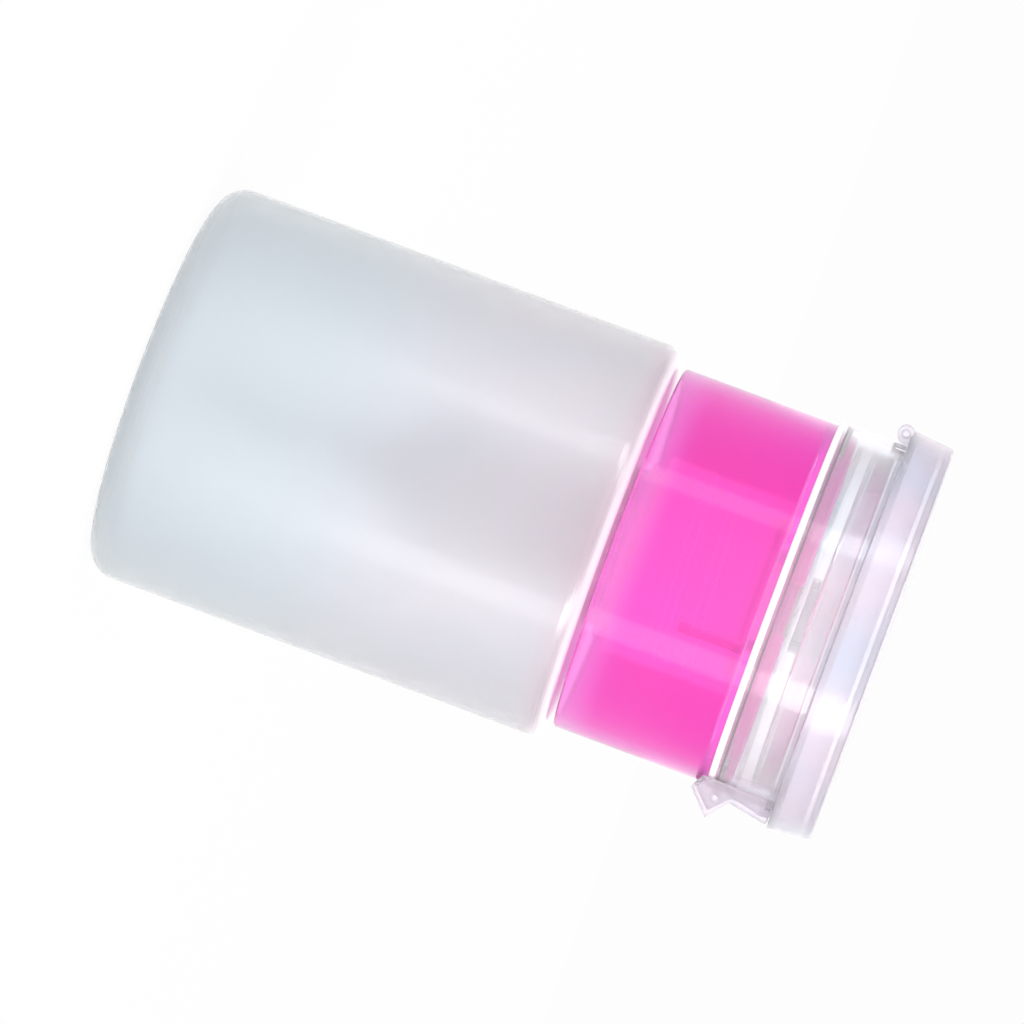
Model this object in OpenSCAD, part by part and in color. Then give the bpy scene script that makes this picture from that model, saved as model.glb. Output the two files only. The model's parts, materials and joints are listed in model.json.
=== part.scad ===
// Push-down pump dispenser bottle for nail polish remover.
// The origin is the centre of the face that the bottle stands on, +Z is up through the pump.
// The lid's hinge lies on the -X side and the lid's latch on the +X side.

/* [Bottle] */
// Outer diameter of the bottle
body_d = 63; // [58:0.5:80]
// Height of the shoulder above the base
body_h = 74.4; // [55:0.2:110]
// Wall of the bottle's side and shoulder
body_wall = 1.2; // [0.9:0.1:2]
// Thickness of the bottle's base
base_t = 1.6; // [1.2:0.1:3]
// Depth of the hollow under the base
push_up = 0.9; // [0.4:0.1:1]
// Width of the flat ring that the bottle stands on
stand_w = 5; // [3:0.5:8]
// Rounding where the side meets the base
base_r = 4.2; // [2:0.2:6]
// Rounding where the side meets the shoulder
shoulder_r = 2.5; // [1.8:0.1:4]

/* [Neck] */
// Outer diameter of the neck below its thread
neck_d = 25.4; // [24.6:0.2:31]
// Wall of the neck
neck_wall = 1.6; // [1.2:0.1:1.8]
// Height of the neck above the shoulder
neck_h = 21.6; // [20.6:0.2:26]
// Rise of the thread in one turn
thread_pitch = 4.7; // [4.2:0.1:5]
// How far the thread stands out from the neck
thread_h = 1.3; // [1:0.1:1.5]
// Turns of thread on the neck
thread_turns = 2.5; // [2:0.25:2.5]

/* [Collar] */
// Outer diameter of the screw collar
collar_d = 57.9; // [54:0.1:70]
// Wall of the collar's skirt
collar_wall = 1.35; // [1:0.05:1.8]
// Gap between the shoulder and the collar's lower edge
collar_gap = 0.9; // [0.5:0.1:1.5]
// Thickness of the collar's deck
deck_t = 1.4; // [1:0.1:2]
// Height of the rim that holds the lid ring
spigot_h = 3.4; // [2.6:0.1:3.8]

/* [Lid and ring] */
// Wall of the clear ring
ring_wall = 1.2; // [1:0.05:1.6]
// Height of the clear ring
ring_h = 10.9; // [10:0.1:14]
// How far the ring stands out past the collar
ring_step = 0.55; // [0.2:0.05:1]
// How far the lid stands out past the ring
lid_over = 2.65; // [2.5:0.05:4]
// Wall of the lid's skirt
lid_wall = 1.45; // [1.1:0.05:1.5]
// Thickness of the lid's top
lid_top_t = 1.3; // [1:0.1:2]
// Height of the lid's skirt
lid_h = 6.8; // [6:0.1:10]
// How far the skirt leans in over its height
lid_draft = 0.6; // [0:0.1:1]
// How far the middle of the lid's top rises above its edge
lid_crown = 0.45; // [0:0.05:1]
// Length of the lid's own hinge knuckle
knuckle_w = 12; // [8:0.5:16]
// Diameter of the hinge pin and of the latch pin
pin_d = 1.2; // [1:0.1:1.3]

/* [Latch] */
// Width of the latch lever
latch_w = 22; // [14:0.5:24]
// How far the thumb tooth stands out from the ring
tooth_out = 4.1; // [3:0.1:5]
// Wall of the latch lever
latch_skin = 0.85; // [0.7:0.05:1]

/* [Pump] */
// Outer diameter of the pump's chamber
chamber_d = 20; // [16.6:0.2:21]
// Wall of the chamber
chamber_wall = 1.2; // [0.9:0.1:1.6]
// Length of the chamber below the neck's top
chamber_len = 54; // [46:1:60]
// Stroke of the press dish
stroke = 3.6; // [2:0.1:3.8]
// Outer diameter of the pump's stem
stem_d = 8; // [7:0.1:9.6]
// Outer diameter of the dip tube
tube_d = 6; // [5:0.1:7]
// Wall of the dip tube
tube_wall = 0.9; // [0.6:0.05:1.2]
// Gap between the dip tube's end and the bottle's base
tube_gap = 2.4; // [1.5:0.1:6]
// Diameter of the inlet ball
inlet_ball_d = 5; // [4:0.1:5.4]
// Diameter of the outlet ball
outlet_ball_d = 3.2; // [2.8:0.1:3.4]
// Wire of the return spring
spring_wire = 1; // [0.8:0.1:1.2]
// Mean diameter of the return spring
spring_d = 13; // [12:0.2:13.2]
// Turns of the return spring
spring_turns = 10; // [7:0.5:12]

/* [Hidden] */

$fn = 96;

// Clearances
run_fit = 0.05;      // radial, between a shaft and its bore
body_gap = 0.3;      // between pieces that pass each other
thread_gap = 0.3;    // radial, between the two threads
eps = 0.01;          // how far a cutter runs past a face

// Bottle
body_r = body_d / 2;
neck_r = neck_d / 2;
bore_r = neck_r - neck_wall;
thread_r = neck_r + thread_h;
neck_top = body_h + neck_h;
bead_h = 1.2;        // the neck's carrying bead
bead_z = body_h + 1.2;

// Pieces stacked on the neck
gasket_t = 1.1;
flange_t = 0.8;
flange_z = neck_top + gasket_t;
bush_z = flange_z + flange_t;
deck_z = bush_z + flange_t;

// Collar
collar_r = collar_d / 2;
collar_z = body_h + collar_gap;
collar_in = collar_r - collar_wall;
collar_top = deck_z + deck_t;
socket_r = thread_r + 0.35;
socket_wall = 1.25;
socket_z = body_h + 3.9;
spigot_fit = 0.05;
snap_h = 0.25;       // height of the snap bead on the spigot
snap_z = collar_top + 1.5;
rib_w = 1.2;         // the key rib on the collar's socket
rib_len = 10.4;
rib_at = -60.5;

// Thread
ridge_root = 2;      // width of a thread ridge at its root
ridge_crest = 1;     // and at its crest
thread_z = body_h + 5.6;
fade = 30;           // degrees over which a thread's end runs out
steps_turn = 30;

// Ring
ring_r = collar_r + ring_step;
ring_in = ring_r - ring_wall;
ring_top = collar_top + ring_h;
ring_edge = 0.4;

// Lid
lid_r = ring_r + lid_over;
lid_in = lid_r - lid_wall;
lid_top = ring_top + lid_h;
lid_edge = 0.5;
lid_fillet = 0.6;    // between the skirt and the top, inside
ledge_t = 1.1;       // the step that rests on the ring
plug_t = 0.7;        // the short wall that enters the ring
plug_r = ring_in - body_gap;

// Hinge
pin_r = pin_d / 2;
knuckle_r = pin_r + 0.75;
ear_r = pin_r + 0.25;
hinge_x = -(ring_r + knuckle_r + body_gap);
hinge_z = ring_top - ear_r - 0.05;
ear_w = 1.7;
ear_gap = 0.25;

// Latch
pivot_x = ring_r + 1;
pivot_z = collar_top + 2.05;
lever_top = ring_top - 0.3;
lever_in = ring_r + 0.35;
lever_top_x = ring_r + 1.95;
lever_low_x = ring_r + 0.8;
tooth_z = collar_top + 1.7;
tooth_top = collar_top + 4.3;
tooth_low = collar_top - 1.8;
tongue_w = 9;
tongue_x = ring_r + 0.2;
tongue_t = 0.6;
tongue_len = 1.8;

// Pump
chamber_r = chamber_d / 2;
chamber_in = chamber_r - chamber_wall;
chamber_z = neck_top - chamber_len;
floor_z = chamber_z + 1.5;
spout_r = tube_d / 2 + 1.2;
spout_z = chamber_z - 10;
socket_len = 8;
seat_r = inlet_ball_d / 2 * 0.72;
inlet_r = inlet_ball_d / 2;
inlet_z = floor_z + sqrt(inlet_r * inlet_r - seat_r * seat_r) + run_fit;
ball_lift = 1;
cage_in = inlet_r + body_gap;
cage_wall = 1;
cage_top = inlet_z + inlet_r + ball_lift + 0.2;
stem_r = stem_d / 2;
bush_len = 5.2;
bush_neck_r = stem_r + 2;
bush_lip_r = bush_neck_r + 0.7;
bush_lip_z = collar_top + 0.4;
bush_top = bush_lip_z + 0.5;
deck_hole_r = bush_neck_r + body_gap;
seal_z = bush_z - 1.4;
seal_h = 1.6;
seal_r = stem_r + 1.1;
piston_top = bush_z - bush_len + flange_t - 0.2;
piston_h = 6;
piston_z = piston_top - piston_h;
piston_r = chamber_in - run_fit;
spring_z = floor_z + spring_wire / 2 + 0.05;
spring_len = piston_z - spring_z - spring_wire / 2 - 0.05;

// Press dish
dish_r = collar_in - 0.4;
dish_low = collar_top + stroke + body_gap;
dish_floor = bush_top + stroke + body_gap;
dish_t = 1.2;
dish_rim = ring_top - 1;
dish_wall = 1;
hub_r = stem_r + 1.4;
hub_top = dish_floor + 3;
stem_top = dish_floor + 1.8;
nozzle_r = stem_r - 1;
outlet_r = outlet_ball_d / 2;
outlet_bore = outlet_r * 0.75;
outlet_well = outlet_r + 0.2;
outlet_seat = stem_top - 5.2;
outlet_z = outlet_seat + sqrt(outlet_r * outlet_r - outlet_bore * outlet_bore) + run_fit;
nozzle_low = outlet_z + outlet_r + ball_lift + 0.1;

// Points along an arc in a profile, [radius, height]
function arc(r, z, size, from, to, n = 8) =
    [for (i = [0:n]) let (a = from + (to - from) * i / n) [r + size * cos(a), z + size * sin(a)]];

// A closed profile turned about the Z axis
module turned(points) {
    rotate_extrude() polygon(points);
}

// A plain ring between two radii
module ring(outer, inner, z, h) {
    translate([0, 0, z]) difference() {
        cylinder(r = outer, h = h);
        translate([0, 0, -eps]) cylinder(r = inner, h = h + 2 * eps);
    }
}

// A rod along Y, centred on y = 0
module cross_rod(x, z, r, w) {
    translate([x, w / 2, z]) rotate([90, 0, 0]) cylinder(r = r, h = w);
}

// How much of its height a thread has at a given turn, so that both ends run out
function grown(turn, turns) =
    max(0.04, min(1, turn * 360 / fade, (turns - turn) * 360 / fade));

// A helical ridge. side is 1 for one on a shaft and -1 for one in a bore.
module helix_ridge(root, height, side, turns, start_z, start_turn) {
    n = ceil(turns * steps_turn);
    sink = 0.25;
    points = [for (i = [0:n])
        let (turn = turns * i / n,
             a = 360 * (turn + start_turn),
             z = start_z + thread_pitch * turn,
             crest = root + side * height * grown(turn, turns),
             foot = root - side * sink,
             low = min(crest, foot),
             high = max(crest, foot),
             low_w = side > 0 ? ridge_root : ridge_crest,
             high_w = side > 0 ? ridge_crest : ridge_root)
        each [[low * cos(a), low * sin(a), z - low_w / 2],
              [high * cos(a), high * sin(a), z - high_w / 2],
              [high * cos(a), high * sin(a), z + high_w / 2],
              [low * cos(a), low * sin(a), z + low_w / 2]]];
    sides = [for (i = [0:n - 1], j = [0:3])
        let (k = (j + 1) % 4) [4 * i + k, 4 * i + 4 + k, 4 * i + 4 + j, 4 * i + j]];
    polyhedron(points, concat([[3, 2, 1, 0], [for (j = [0:3]) 4 * n + j]], sides));
}

module bottle() {
    inner_base_r = base_r - body_wall;
    inner_shoulder_r = shoulder_r - body_wall;
    stand_in = body_r - base_r - stand_w;
    floor_top = base_t + push_up;
    color([0.88, 0.92, 0.95, 0.6]) union() {
        turned(concat(
            [[0, push_up], [stand_in - 3, push_up], [stand_in, 0]],
            arc(body_r - base_r, base_r, base_r, -90, 0),
            arc(body_r - shoulder_r, body_h - shoulder_r, shoulder_r, 0, 90),
            [[neck_r, body_h], [neck_r, bead_z], [thread_r, bead_z + 0.3],
             [thread_r, bead_z + bead_h - 0.3], [neck_r, bead_z + bead_h],
             [neck_r, neck_top - 0.4], [neck_r - 0.4, neck_top], [bore_r, neck_top],
             [bore_r, body_h - body_wall]],
            arc(body_r - shoulder_r, body_h - shoulder_r, inner_shoulder_r, 90, 0),
            arc(body_r - base_r, floor_top + inner_base_r, inner_base_r, 0, -90),
            [[0, floor_top]]));
        helix_ridge(neck_r, thread_h, 1, thread_turns, thread_z, 0);
    }
}

module neck_gasket() {
    color([0.96, 0.96, 0.97]) ring(neck_r - 0.2, chamber_r, neck_top, gasket_t);
}

module pump_housing() {
    color([0.9, 0.9, 0.93, 0.85]) turned([
        [seat_r, floor_z], [seat_r, spout_z + socket_len], [tube_d / 2, spout_z + socket_len],
        [tube_d / 2, spout_z], [spout_r, spout_z], [spout_r, chamber_z - 1.5],
        [chamber_r - 1.5, chamber_z], [chamber_r, chamber_z + 1.5], [chamber_r, flange_z],
        [neck_r - 0.1, flange_z], [neck_r - 0.1, bush_z], [chamber_in, bush_z],
        [chamber_in, floor_z]]);
}

module guide_bush() {
    low = bush_z - bush_len + flange_t;
    color([0.97, 0.97, 0.98]) turned([
        [stem_r + run_fit, low], [chamber_in, low], [chamber_in, bush_z],
        [neck_r - 0.1, bush_z], [neck_r - 0.1, deck_z], [bush_neck_r, deck_z],
        [bush_neck_r, bush_lip_z - 0.2], [bush_lip_r, bush_lip_z], [bush_neck_r, bush_top],
        [stem_r + run_fit, bush_top], [stem_r + run_fit, seal_z + seal_h],
        [seal_r, seal_z + seal_h], [seal_r, seal_z], [stem_r + run_fit, seal_z]]);
}

// Soft ring in the bush's groove that wipes the stem
module stem_seal() {
    color([0.25, 0.25, 0.27]) ring(seal_r, stem_r + 0.02, seal_z, seal_h);
}

// Open cage over the inlet ball
module ball_cage() {
    window_w = inlet_r * 1.2;
    color([0.95, 0.95, 0.96]) difference() {
        union() {
            ring(cage_in + cage_wall, cage_in, floor_z, cage_top - floor_z);
            ring(cage_in + cage_wall, seat_r, cage_top, cage_wall);
        }
        for (turn = [0, 90]) rotate([0, 0, turn])
            translate([-cage_in * 2, -window_w / 2, floor_z + 1.6])
                cube([cage_in * 4, window_w, cage_top - floor_z - 2]);
    }
}

// Dip tube, its lower end cut at a slant so that the base can't close it
module dip_tube() {
    low = base_t + push_up + tube_gap;
    top = spout_z + socket_len;
    color([0.93, 0.95, 0.97, 0.8]) difference() {
        ring(tube_d / 2, tube_d / 2 - tube_wall, low, top - low);
        translate([-tube_d / 2, -tube_d, low]) rotate([0, 40, 0])
            cube([tube_d * 2, tube_d * 2, tube_d * 2]);
    }
}

module inlet_ball() {
    color([0.8, 0.81, 0.83]) translate([0, 0, inlet_z]) sphere(r = inlet_r);
}

module outlet_ball() {
    color([0.8, 0.81, 0.83]) translate([0, 0, outlet_z]) sphere(r = outlet_r);
}

// Compression spring with its end turns closed up
module return_spring() {
    sides = 8;
    per_turn = 22;
    n = ceil(spring_turns * per_turn);
    closed_rise = spring_wire * 1.05;
    open_rise = (spring_len - 2 * closed_rise) / (spring_turns - 2);
    function height(turn) = turn < 1 ? turn * closed_rise
        : turn > spring_turns - 1 ? spring_len - (spring_turns - turn) * closed_rise
        : closed_rise + (turn - 1) * open_rise;
    points = [for (i = [0:n], j = [0:sides - 1])
        let (turn = spring_turns * i / n, a = 360 * turn, b = 360 * j / sides,
             r = spring_d / 2 + spring_wire / 2 * cos(b))
        [r * cos(a), r * sin(a), spring_z + height(turn) + spring_wire / 2 * sin(b)]];
    walls = [for (i = [0:n - 1], j = [0:sides - 1])
        let (k = (j + 1) % sides)
        [sides * i + k, sides * (i + 1) + k, sides * (i + 1) + j, sides * i + j]];
    color([0.75, 0.76, 0.78]) polyhedron(points, concat(
        [[for (j = [0:sides - 1]) sides - 1 - j]], [[for (j = [0:sides - 1]) sides * n + j]], walls));
}

// Piston with a sealing lip at each end
module piston() {
    lip = 0.9;
    waist = piston_r - 0.8;
    color([0.97, 0.97, 0.98]) turned([
        [stem_r, piston_z], [piston_r - 1.6, piston_z], [piston_r - 1.2, piston_z + 1],
        [piston_r - 0.5, piston_z], [piston_r, piston_z], [piston_r, piston_z + lip],
        [waist, piston_z + lip + 1], [waist, piston_top - lip - 1],
        [piston_r, piston_top - lip], [piston_r, piston_top], [stem_r, piston_top]]);
}

module pump_stem() {
    color([0.95, 0.95, 0.97]) turned([
        [outlet_bore, piston_z], [stem_r, piston_z], [stem_r, stem_top],
        [outlet_well, stem_top], [outlet_well, outlet_seat], [outlet_bore, outlet_seat]]);
}

module press_dish() {
    floor_top = dish_floor + dish_t;
    inner_rim = dish_r - dish_wall;
    inner_low = inner_rim - 1.2;
    color([0.93, 0.93, 0.97, 0.5]) turned(concat(
        [[stem_r, dish_floor], [inner_low, dish_floor], [dish_r - dish_wall, dish_low],
         [dish_r, dish_low]],
        arc(dish_r - 0.4, dish_rim - 0.4, 0.4, 0, 90, 4),
        [[inner_rim + 0.2, dish_rim], [inner_rim, dish_rim - 0.2]],
        arc(inner_low - 1, floor_top + 1.3, 1, 0, -90, 6),
        [[hub_r + 0.8, floor_top], [hub_r, floor_top + 0.8], [hub_r, hub_top - 0.5],
         [hub_r - 0.5, hub_top], [nozzle_r, hub_top], [nozzle_r, stem_top],
         [stem_r, stem_top]]));
}

module outlet_nozzle() {
    hole_r = 0.6;
    color([0.97, 0.97, 0.98]) turned([
        [hole_r, nozzle_low], [outlet_well, nozzle_low], [outlet_well, stem_top],
        [nozzle_r, stem_top], [nozzle_r, hub_top + 0.1], [nozzle_r - 0.4, hub_top + 0.4],
        [1.2, hub_top + 0.4], [hole_r, hub_top]]);
}

module screw_collar() {
    spigot_r = ring_in - spigot_fit;
    spigot_top = collar_top + spigot_h;
    color([1, 0.28, 0.72, 0.75]) union() {
        turned([
            [collar_in, collar_z], [collar_r - 0.3, collar_z], [collar_r, collar_z + 0.3],
            [collar_r, collar_top], [spigot_r, collar_top], [spigot_r, snap_z],
            [spigot_r + snap_h, snap_z + 0.3], [spigot_r, snap_z + 0.9],
            [spigot_r, spigot_top - 0.3], [spigot_r - 0.3, spigot_top], [collar_in, spigot_top],
            [collar_in, collar_top], [deck_hole_r, collar_top], [deck_hole_r, deck_z],
            [socket_r, deck_z], [socket_r, socket_z], [socket_r + socket_wall, socket_z],
            [socket_r + socket_wall, deck_z], [collar_in, deck_z]]);
        helix_ridge(socket_r, socket_r - neck_r - thread_gap, -1, thread_turns - 0.5,
                    thread_z + thread_pitch / 2, 0);
        rotate([0, 0, rib_at]) translate([socket_r + socket_wall - 0.2, -rib_w / 2, deck_z - rib_len])
            cube([rib_w, rib_w, rib_len + 0.2]);
    }
}

// Ear on the ring that holds one end of a pin, with its web back to the ring
module ear(x, z, y, w) {
    reach = abs(x) - ring_in;
    difference() {
        union() {
            translate([0, y, 0]) cross_rod(x, z, ear_r, w);
            translate([x > 0 ? x - reach : x, y - w / 2, z - ear_r])
                cube([reach, w, 2 * ear_r]);
        }
        cylinder(r = ring_in + ring_wall / 2, h = lid_top);
        translate([0, y, 0]) cross_rod(x, z, pin_r, w + 2 * eps);
    }
}

module lid_ring() {
    groove = snap_h + 0.05;
    ear_y = knuckle_w / 2 + ear_gap + ear_w / 2;
    latch_ear_y = latch_w / 2 - latch_skin - ear_gap - ear_w / 2;
    color([0.9, 0.9, 0.96, 0.45]) union() {
        turned(concat(
            [[ring_in, collar_top]],
            arc(ring_r - ring_edge, collar_top + ring_edge, ring_edge, -90, 0, 5),
            arc(ring_r - 0.2, ring_top - 0.2, 0.2, 0, 90, 3),
            [[ring_in, ring_top], [ring_in, snap_z + 0.95], [ring_in + groove, snap_z + 0.3],
             [ring_in, snap_z - 0.05]]));
        for (side = [-1, 1]) {
            ear(hinge_x, hinge_z, side * ear_y, ear_w);
            ear(pivot_x, pivot_z, side * latch_ear_y, ear_w);
        }
    }
}

module lid_pin() {
    length = knuckle_w + 2 * (ear_gap + ear_w);
    color([0.95, 0.95, 0.98, 0.6]) cross_rod(hinge_x, hinge_z, pin_r, length);
}

module latch_pin() {
    color([0.95, 0.95, 0.98, 0.6]) cross_rod(pivot_x, pivot_z, pin_r, latch_w);
}

// Points across the lid's crowned top, from the middle outwards, at a depth below its surface
function crown(outer, depth, n = 8) =
    [for (i = [0:n]) [outer * i / n, lid_top + lid_crown * (1 - pow(i / n, 2)) - depth]];

module flip_lid() {
    relief_y = knuckle_w / 2 + ear_gap + ear_w / 2;
    top_r = lid_r - lid_draft - lid_edge;
    top_in = lid_in - lid_draft;
    outer_top = crown(top_r, 0);
    color([0.9, 0.9, 0.96, 0.45]) difference() {
        union() {
            turned(concat(
                arc(lid_r - 0.2, ring_top + 0.2, 0.2, -90, 0, 3),
                arc(top_r, lid_top - lid_edge, lid_edge, 0, 90, 5),
                [for (i = [len(outer_top) - 2:-1:0]) outer_top[i]],
                crown(top_in - lid_fillet, lid_top_t),
                [[top_in, lid_top - lid_top_t - lid_fillet],
                 [lid_in, ring_top + ledge_t], [plug_r - plug_t, ring_top + ledge_t],
                 [plug_r - plug_t, ring_top - plug_t], [plug_r - 0.2, ring_top - plug_t],
                 [plug_r, ring_top - plug_t + 0.2], [plug_r, ring_top]]));
            cross_rod(hinge_x, hinge_z, knuckle_r, knuckle_w);
            intersection() {
                translate([hinge_x - knuckle_r, -knuckle_w / 2, hinge_z])
                    cube([2 * knuckle_r, knuckle_w, ring_top - hinge_z + 0.5]);
                cylinder(r = lid_r, h = lid_top);
            }
            translate([tongue_x, -tongue_w / 2, ring_top - tongue_len])
                cube([tongue_t, tongue_w, tongue_len + 0.5]);
        }
        cross_rod(hinge_x, hinge_z, pin_r + run_fit, knuckle_w + 2 * eps);
        for (side = [-1, 1]) translate([0, side * relief_y, 0])
            cross_rod(hinge_x, hinge_z, ear_r + body_gap, ear_w + 2 * ear_gap);
    }
}

// Outline of the latch lever seen from the side, [x, z]
function lever_outline(skin) = [
    [lever_in - 6, tooth_top - 2.8], [lever_in - 0.1, tooth_low + skin],
    [lever_in + 0.1, tooth_low + skin], [ring_r + tooth_out - skin * 1.3, tooth_z],
    [lever_low_x - skin, tooth_top + skin / 3], [lever_top_x - skin, lever_top - skin],
    [lever_in - 6, lever_top - skin]];

// Hollow lever, with a slot in its top that the lid's tongue hangs into
module latch_lever() {
    slot_w = tongue_w + 2 * body_gap;
    color([0.93, 0.93, 0.99, 0.55]) difference() {
        translate([0, latch_w / 2, 0]) rotate([90, 0, 0]) linear_extrude(latch_w)
            polygon(lever_outline(0));
        cylinder(r = lever_in, h = lid_top);
        translate([0, latch_w / 2 - latch_skin, 0]) rotate([90, 0, 0])
            linear_extrude(latch_w - 2 * latch_skin) polygon(lever_outline(latch_skin));
        translate([0, -slot_w / 2, ring_top - tongue_len - body_gap])
            cube([tongue_x + tongue_t + body_gap, slot_w, tongue_len + body_gap]);
        cross_rod(pivot_x, pivot_z, pin_r + run_fit, latch_w + 2 * eps);
    }
}

bottle();
neck_gasket();
pump_housing();
guide_bush();
stem_seal();
ball_cage();
dip_tube();
inlet_ball();
return_spring();
piston();
pump_stem();
press_dish();
outlet_nozzle();
outlet_ball();
screw_collar();
lid_ring();
lid_pin();
latch_pin();
flip_lid();
latch_lever();
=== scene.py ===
import json
import math

import bpy
from mathutils import Matrix, Vector


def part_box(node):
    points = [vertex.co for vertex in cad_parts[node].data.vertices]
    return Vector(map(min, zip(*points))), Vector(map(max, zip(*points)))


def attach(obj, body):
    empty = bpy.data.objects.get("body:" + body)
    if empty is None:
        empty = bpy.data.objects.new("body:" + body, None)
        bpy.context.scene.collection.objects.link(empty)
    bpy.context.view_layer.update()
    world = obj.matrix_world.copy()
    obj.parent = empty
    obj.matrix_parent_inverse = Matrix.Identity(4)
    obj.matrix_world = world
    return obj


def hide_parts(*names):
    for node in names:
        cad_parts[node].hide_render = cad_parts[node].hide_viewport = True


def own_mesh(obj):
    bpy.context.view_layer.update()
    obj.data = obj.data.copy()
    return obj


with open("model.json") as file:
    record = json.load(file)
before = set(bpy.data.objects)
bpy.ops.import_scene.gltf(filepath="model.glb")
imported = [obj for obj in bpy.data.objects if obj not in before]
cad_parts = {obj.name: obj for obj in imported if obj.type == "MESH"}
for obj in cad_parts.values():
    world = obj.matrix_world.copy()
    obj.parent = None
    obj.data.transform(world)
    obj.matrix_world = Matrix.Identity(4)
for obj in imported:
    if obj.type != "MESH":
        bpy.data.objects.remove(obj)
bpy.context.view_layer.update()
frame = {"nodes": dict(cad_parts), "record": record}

NODES = frame["nodes"]

# Clear walls stand behind each other here, so light needs more passes than usual to get through.
CLEAR_BOUNCES = 32
SURFACE_BOUNCES = 16

scene = bpy.context.scene
scene.view_settings.view_transform = "Standard"
scene.cycles.max_bounces = CLEAR_BOUNCES
scene.cycles.transmission_bounces = CLEAR_BOUNCES
scene.cycles.diffuse_bounces = SURFACE_BOUNCES
scene.cycles.glossy_bounces = SURFACE_BOUNCES


# ---------------------------------------------------------------- materials

PLASTIC_IOR = 1.5
GRAIN_BUMP = 0.4
FROSTED_CLEAR = 0.82
RING_CLEAR = 0.87
CREASE_ANGLE = math.radians(32)
# The colour sockets of a Mix node.
MIX_A, MIX_B, MIX_RESULT = 6, 7, 2


def shader_of(material):
    return material.node_tree.nodes["Principled BSDF"]


def new_material(name):
    material = bpy.data.materials.new(name)
    material.use_nodes = True
    return material, material.node_tree, shader_of(material)


def add_node(tree, kind, **values):
    node = tree.nodes.new(kind)
    for key, value in values.items():
        if key in node.inputs:
            node.inputs[key].default_value = value
        else:
            setattr(node, key, value)
    return node


def noise(tree, scale, detail, stretch=(1, 1, 1)):
    """A noise pattern in the piece's own metres, stretched along its axes."""
    place = add_node(tree, "ShaderNodeTexCoord")
    mapping = add_node(tree, "ShaderNodeMapping")
    mapping.inputs["Scale"].default_value = stretch
    pattern = add_node(tree, "ShaderNodeTexNoise", Scale=scale, Detail=detail)
    tree.links.new(place.outputs["Object"], mapping.inputs["Vector"])
    tree.links.new(mapping.outputs["Vector"], pattern.inputs["Vector"])
    return pattern.outputs["Fac"]


def ramp(tree, factor, stops):
    """Colours along a factor, as [(position, (r, g, b))]."""
    node = tree.nodes.new("ShaderNodeValToRGB")
    elements = node.color_ramp.elements
    while len(elements) < len(stops):
        elements.new(0.5)
    for element, (position, colour) in zip(elements, stops):
        element.position = position
        element.color = (*colour, 1)
    tree.links.new(factor, node.inputs["Fac"])
    return node.outputs["Color"]


def spread(tree, factor, low, high):
    """A number that is low where factor is 0 and high where it is 1."""
    node = add_node(tree, "ShaderNodeMapRange")
    node.inputs["To Min"].default_value = low
    node.inputs["To Max"].default_value = high
    tree.links.new(factor, node.inputs["Value"])
    return node.outputs["Result"]


def height_band(tree, low, high):
    """0 below the low height and 1 above the high one, in the piece's own metres."""
    place = add_node(tree, "ShaderNodeTexCoord")
    split = add_node(tree, "ShaderNodeSeparateXYZ")
    band = add_node(tree, "ShaderNodeMapRange")
    band.interpolation_type = "SMOOTHSTEP"
    band.inputs["From Min"].default_value = low
    band.inputs["From Max"].default_value = high
    tree.links.new(place.outputs["Object"], split.inputs["Vector"])
    tree.links.new(split.outputs["Z"], band.inputs["Value"])
    return band.outputs["Result"]


def radius_band(tree, low, high):
    """0 inside the low radius and 1 outside the high one, measured from the piece's Z axis."""
    place = add_node(tree, "ShaderNodeTexCoord")
    flat = add_node(tree, "ShaderNodeVectorMath", operation="MULTIPLY")
    flat.inputs[1].default_value = (1, 1, 0)
    length = add_node(tree, "ShaderNodeVectorMath", operation="LENGTH")
    band = add_node(tree, "ShaderNodeMapRange")
    band.inputs["From Min"].default_value = low
    band.inputs["From Max"].default_value = high
    tree.links.new(place.outputs["Object"], flat.inputs[0])
    tree.links.new(flat.outputs["Vector"], length.inputs[0])
    tree.links.new(length.outputs["Value"], band.inputs["Value"])
    return band.outputs["Result"]


def blend_colour(tree, factor, first, second):
    """first where factor is 0 and second where it is 1. Each is a colour or a socket."""
    node = add_node(tree, "ShaderNodeMix", data_type="RGBA")
    tree.links.new(factor, node.inputs[0])
    for slot, value in ((MIX_A, first), (MIX_B, second)):
        if isinstance(value, tuple):
            node.inputs[slot].default_value = (*value, 1)
        else:
            tree.links.new(value, node.inputs[slot])
    return node.outputs[MIX_RESULT]


def bump(tree, shader, height, distance):
    node = add_node(tree, "ShaderNodeBump", Strength=GRAIN_BUMP, Distance=distance)
    tree.links.new(height, node.inputs["Height"])
    tree.links.new(node.outputs["Normal"], shader.inputs["Normal"])


def plastic(name, colours, roughness, transmission, grain=600, grain_depth=0.00001, patch=40):
    """Moulded plastic. Colours run along a wide soft pattern, and roughness along a finer one."""
    material, tree, shader = new_material(name)
    wide = noise(tree, patch, 1.5, (1, 1, 0.6))
    fine = noise(tree, grain, 3.0)
    steps = [(0.3 + 0.4 * i / (len(colours) - 1), colour) for i, colour in enumerate(colours)]
    tree.links.new(ramp(tree, wide, steps), shader.inputs["Base Color"])
    tree.links.new(spread(tree, fine, *roughness), shader.inputs["Roughness"])
    bump(tree, shader, fine, grain_depth)
    shader.inputs["Transmission Weight"].default_value = transmission
    shader.inputs["IOR"].default_value = PLASTIC_IOR
    return material


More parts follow.
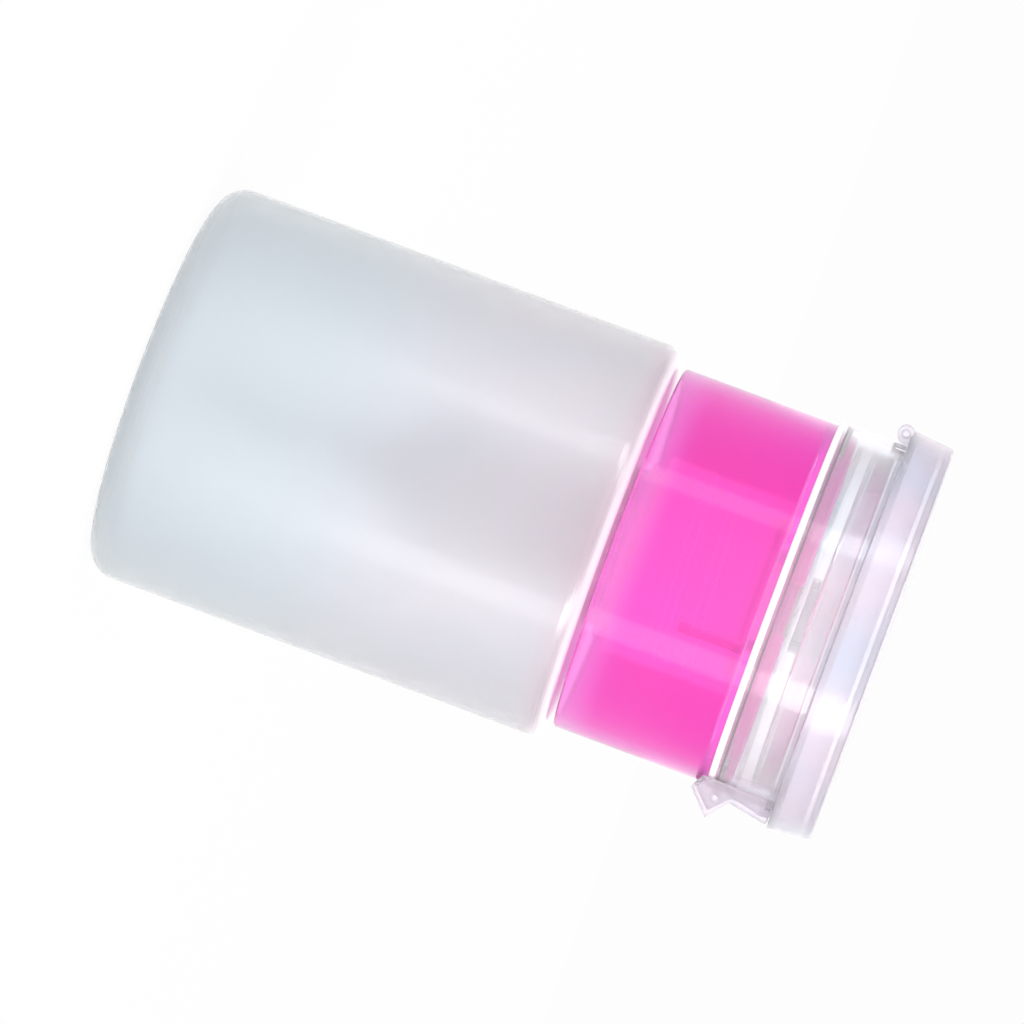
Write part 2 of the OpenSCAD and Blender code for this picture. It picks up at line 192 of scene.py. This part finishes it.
def steel(name):
    material, tree, shader = new_material(name)
    fine = noise(tree, 900, 2.0, (1, 1, 6))
    tree.links.new(ramp(tree, fine, [(0.3, (0.62, 0.63, 0.65)), (0.7, (0.75, 0.76, 0.78))]),
                   shader.inputs["Base Color"])
    tree.links.new(spread(tree, fine, 0.14, 0.3), shader.inputs["Roughness"])
    shader.inputs["Metallic"].default_value = 1.0
    return material


FROSTED = plastic("frosted_bottle", [(0.92, 0.93, 0.98), (0.97, 0.95, 0.99), (0.96, 0.94, 0.98)],
                  roughness=(0.42, 0.5), transmission=FROSTED_CLEAR, grain=900, grain_depth=0.00002)
PINK = plastic("pink_plastic", [(1.0, 0.12, 0.68), (1.0, 0.19, 0.78)],
               roughness=(0.07, 0.12), transmission=0.78, patch=25)
CLEAR = plastic("clear_plastic", [(0.84, 0.87, 0.97), (0.93, 0.88, 0.96), (0.98, 0.88, 0.95)],
                roughness=(0.16, 0.24), transmission=0.84, patch=70)
RING = plastic("clear_ring", [(0.93, 0.97, 1.0), (0.99, 0.98, 1.0), (1.0, 0.95, 0.99)],
               roughness=(0.05, 0.1), transmission=RING_CLEAR, patch=70)
MILKY = plastic("natural_plastic", [(0.95, 0.95, 0.97), (0.97, 0.97, 0.98)],
                roughness=(0.35, 0.45), transmission=0.75)
WHITE = plastic("white_plastic", [(0.96, 0.96, 0.97), (0.98, 0.98, 0.98)],
                roughness=(0.35, 0.5), transmission=0.0)
RUBBER = plastic("dark_rubber", [(0.04, 0.04, 0.045), (0.07, 0.07, 0.075)],
                 roughness=(0.6, 0.75), transmission=0.0)
STEEL = steel("steel")


def tint(material, band, low, high, below=None, above=None):
    """Blends a material's colour to another one below a height or radius, or above it."""
    tree = material.node_tree
    shader = shader_of(material)
    own = shader.inputs["Base Color"].links[0].from_socket
    factor = band(tree, low, high)
    colour = blend_colour(tree, factor, below or own, above or own)
    tree.links.new(colour, shader.inputs["Base Color"])


def clear_by_height(material, low, high, below, above):
    """How see-through a material is below a height and above it."""
    tree = material.node_tree
    tree.links.new(spread(tree, height_band(tree, low, high), below, above),
                   shader_of(material).inputs["Transmission Weight"])


def painted_glow(material, colour, strength):
    """A painted glow: light of the material's own that stands in for what scatters inside it.

    strength is a number or a socket.
    """
    shader = shader_of(material)
    shader.inputs["Emission Color"].default_value = (*colour, 1)
    if isinstance(strength, float):
        shader.inputs["Emission Strength"].default_value = strength
    else:
        material.node_tree.links.new(strength, shader.inputs["Emission Strength"])


# Where one look passes into the next, from and to, in metres. All are heights, except the radius
# of the collar's threaded socket.
collar_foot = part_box("screw_collar")[0][2]
ring_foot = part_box("lid_ring")[0][2]
BOTTLE_COOL = (0.02, 0.055)
SHOULDER_PAINTED_PINK_LIGHT = (collar_foot - 0.007, collar_foot - 0.0012)
SHOULDER_DENSE = (collar_foot - 0.0026, collar_foot - 0.0012)
NECK_PAINTED_GLOW = (collar_foot - 0.0008, collar_foot)
HOUSING_PAINTED_PINK_LIGHT = (0.055, 0.072)
SOCKET_GLOW_RADIUS = (0.0156, 0.0158)
COLLAR_PALE = (0.0765, 0.082)
RING_WHITE = (ring_foot + 0.0009, ring_foot + 0.0012)

# The bottle is cooler low down, its shoulder is denser and has painted pink light from the collar
# in its colour, and its neck has a painted glow that stands in for what its wall scatters.
tint(FROSTED, height_band, *BOTTLE_COOL, below=(0.88, 0.935, 0.97))
# Painted pink light from the collar, on the shoulder.
tint(FROSTED, height_band, *SHOULDER_PAINTED_PINK_LIGHT, above=(1.0, 0.88, 0.95))
# Painted glow on the neck, standing in for light scattered in the wall.
neck_glow_band = height_band(FROSTED.node_tree, *NECK_PAINTED_GLOW)
painted_glow(FROSTED, (1.0, 0.97, 1.0), spread(FROSTED.node_tree, neck_glow_band, 0.0, 0.1))
clear_by_height(FROSTED, *SHOULDER_DENSE, FROSTED_CLEAR, 0.3)
shader_of(FROSTED).inputs["Coat Weight"].default_value = 1.0
shader_of(FROSTED).inputs["Coat Roughness"].default_value = 0.14
# The pump housing has painted pink light from the collar in its colour too, towards its top.
tint(MILKY, height_band, *HOUSING_PAINTED_PINK_LIGHT, above=(1.0, 0.8, 0.91))
# The collar's threaded socket has a painted lighter colour and a painted glow, standing in for
# light from the pale neck inside it, and its lower edge is paler.
tint(PINK, radius_band, *SOCKET_GLOW_RADIUS, below=(1.0, 0.55, 0.95))
socket_glow_band = radius_band(PINK.node_tree, *SOCKET_GLOW_RADIUS)
painted_glow(PINK, (1.0, 1.0, 0.78), spread(PINK.node_tree, socket_glow_band, 0.17, 0.0))
tint(PINK, height_band, *COLLAR_PALE, below=(1.0, 0.33, 0.84))
# The ring's foot is thicker than its wall, and looks whiter.
clear_by_height(RING, *RING_WHITE, 0.25, RING_CLEAR)
# A faint painted glow lightens the whole ring.
painted_glow(RING, (0.97, 0.97, 1.0), 0.025)

LOOKS = {
    "frosted_bottle": FROSTED, "pink_plastic": PINK, "clear_plastic": CLEAR,
    "natural_plastic": MILKY, "white_plastic": WHITE, "dark_rubber": RUBBER, "steel": STEEL,
}

for part in frame["record"]["subparts"]:
    node = NODES[part["node"]]
    node.data.materials.clear()
    # The ring and the dish are clearer than the lid, though they share its slot.
    clearer = part["node"] in ("lid_ring", "press_dish")
    node.data.materials.append(RING if clearer else LOOKS[part["material_slot"]])
    for face in node.data.polygons:
        face.use_smooth = True
    edges = node.modifiers.new("crisp_edges", "EDGE_SPLIT")
    edges.split_angle = CREASE_ANGLE


# ---------------------------------------------------------------- return spring

SPRING_WIRE = 0.001
# The rise of a closed turn, in wires.
CLOSED_PITCH = 1.05


def coil(name, low, length, mean_r, wire, turns, closed, per_turn=48, sides=14):
    """A compression spring whose end turns lie close and taper to a flat ground end."""
    count = int(turns * per_turn)
    close_rise = wire * CLOSED_PITCH
    ground = wire / 4
    open_rise = (length - 2 * closed * close_rise) / (turns - 2 * closed)
    points = []
    for i in range(count + 1):
        turn = turns * i / count
        if turn < closed:
            rise = turn * close_rise
        elif turn > turns - closed:
            rise = length - (turns - turn) * close_rise
        else:
            rise = closed * close_rise + (turn - closed) * open_rise
        a = math.tau * turn
        for j in range(sides):
            b = math.tau * j / sides
            r = mean_r + wire / 2 * math.cos(b)
            z = low + rise + wire / 2 * math.sin(b)
            z = min(max(z, low - ground), low + length + ground)
            points.append((r * math.cos(a), r * math.sin(a), z))
    faces = [tuple(reversed(range(sides))), tuple(count * sides + j for j in range(sides))]
    for i in range(count):
        for j in range(sides):
            k = (j + 1) % sides
            faces.append((i * sides + j, i * sides + k,
                          (i + 1) * sides + k, (i + 1) * sides + j))
    mesh = bpy.data.meshes.new(name)
    mesh.from_pydata(points, [], faces)
    for face in mesh.polygons:
        face.use_smooth = len(face.vertices) == 4
    mesh.update()
    thing = bpy.data.objects.new(name, mesh)
    scene.collection.objects.link(thing)
    return thing


spring_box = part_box("return_spring")
spring_low = spring_box[0][2] + SPRING_WIRE / 2
spring_length = spring_box[1][2] - spring_box[0][2] - SPRING_WIRE
spring = coil("return_spring_coil", spring_low, spring_length, mean_r=0.0065, wire=SPRING_WIRE,
              turns=10, closed=1)
spring.data.materials.append(STEEL)
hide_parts("return_spring")
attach(spring, "pump_core")
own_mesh(spring)


# ---------------------------------------------------------------- studio

WORLD_LIGHT = 1.28
BACKDROP_WHITE = 0.983
FLOOR_GLOW = 0.945
LAMP_AIM = Vector((0, 0, 0.1))
LAMP_DISTANCE = 0.42


def studio_world():
    """A white backdrop to the camera. Its light is white before and behind, darker at the sides."""
    world = bpy.data.worlds.new("studio")
    scene.world = world
    world.use_nodes = True
    tree = world.node_tree
    back = tree.nodes["Background"]
    path = add_node(tree, "ShaderNodeLightPath")
    place = add_node(tree, "ShaderNodeTexCoord")
    split = add_node(tree, "ShaderNodeSeparateXYZ")
    across = add_node(tree, "ShaderNodeMapRange")
    across.inputs["From Min"].default_value = -1.0
    tree.links.new(place.outputs["Generated"], split.inputs["Vector"])
    tree.links.new(split.outputs["X"], across.inputs["Value"])
    light = ramp(tree, across.outputs["Result"], [
        (0.0, (0.4, 0.4, 0.41)), (0.08, (0.55, 0.55, 0.56)), (0.25, (0.98, 0.97, 1.0)),
        (0.5, (1.0, 0.99, 1.0)), (0.75, (1.0, 0.99, 1.0)), (0.92, (0.6, 0.6, 0.61)),
        (1.0, (0.5, 0.5, 0.51))])
    seen = path.outputs["Is Camera Ray"]
    tree.links.new(blend_colour(tree, seen, light, (BACKDROP_WHITE,) * 3), back.inputs["Color"])
    tree.links.new(spread(tree, seen, WORLD_LIGHT, 1.0), back.inputs["Strength"])


def softbox(name, azimuth, elevation, width, height, power):
    """A soft lamp facing the object. Azimuth is measured from the camera's side, +X positive."""
    lamp = bpy.data.lights.new(name, "AREA")
    lamp.shape = "RECTANGLE"
    lamp.size = width
    lamp.size_y = height
    lamp.energy = power
    thing = bpy.data.objects.new(name, lamp)
    scene.collection.objects.link(thing)
    a = math.radians(azimuth)
    e = math.radians(elevation)
    toward = Vector((math.sin(a) * math.cos(e), -math.cos(a) * math.cos(e), math.sin(e)))
    thing.location = LAMP_AIM + toward * LAMP_DISTANCE
    thing.rotation_euler = (-toward).to_track_quat("-Z", "Y").to_euler()


def floor():
    """A wide pale floor that fades into the background."""
    half = 3.0
    top = -0.0002
    mesh = bpy.data.meshes.new("floor")
    mesh.from_pydata([(-half, -half, top), (half, -half, top), (half, half, top),
                      (-half, half, top)], [], [(0, 1, 2, 3)])
    thing = bpy.data.objects.new("floor", mesh)
    scene.collection.objects.link(thing)
    material, _, shader = new_material("floor")
    shader.inputs["Base Color"].default_value = (0.04, 0.04, 0.04, 1)
    shader.inputs["Roughness"].default_value = 1.0
    shader.inputs["Specular IOR Level"].default_value = 0.0
    shader.inputs["Emission Color"].default_value = (1, 1, 1, 1)
    shader.inputs["Emission Strength"].default_value = FLOOR_GLOW
    mesh.materials.append(material)


def camera():
    """The photograph's view: level with the lid, rolled so that the bottle lies on its side."""
    distance = 1.02
    height = 0.120
    side = 0.0007
    aim_z = 0.0580
    roll = math.radians(110.4)
    data = bpy.data.cameras.new("camera")
    data.sensor_width = 36
    data.lens = 236
    data.clip_start = 0.01
    data.clip_end = 50
    thing = bpy.data.objects.new("camera", data)
    scene.collection.objects.link(thing)
    place = Vector((side, -distance, height))
    back = (place - Vector((side, 0, aim_z))).normalized()
    right = Vector((1, 0, 0))
    up = back.cross(right)
    turned_right = right * math.cos(roll) + up * math.sin(roll)
    turned_up = back.cross(turned_right)
    matrix = Matrix((turned_right, turned_up, back)).transposed().to_4x4()
    matrix.translation = place
    thing.matrix_world = matrix
    scene.camera = thing


studio_world()
floor()
softbox("key_right", 46, 24, width=0.15, height=0.36, power=0.95)
softbox("strip_right", 46, -2, width=0.11, height=0.16, power=0.08)
softbox("strip_left", -48, -2, width=0.08, height=0.16, power=0.045)
softbox("key_left", -48, 24, width=0.11, height=0.36, power=0.5)
camera()
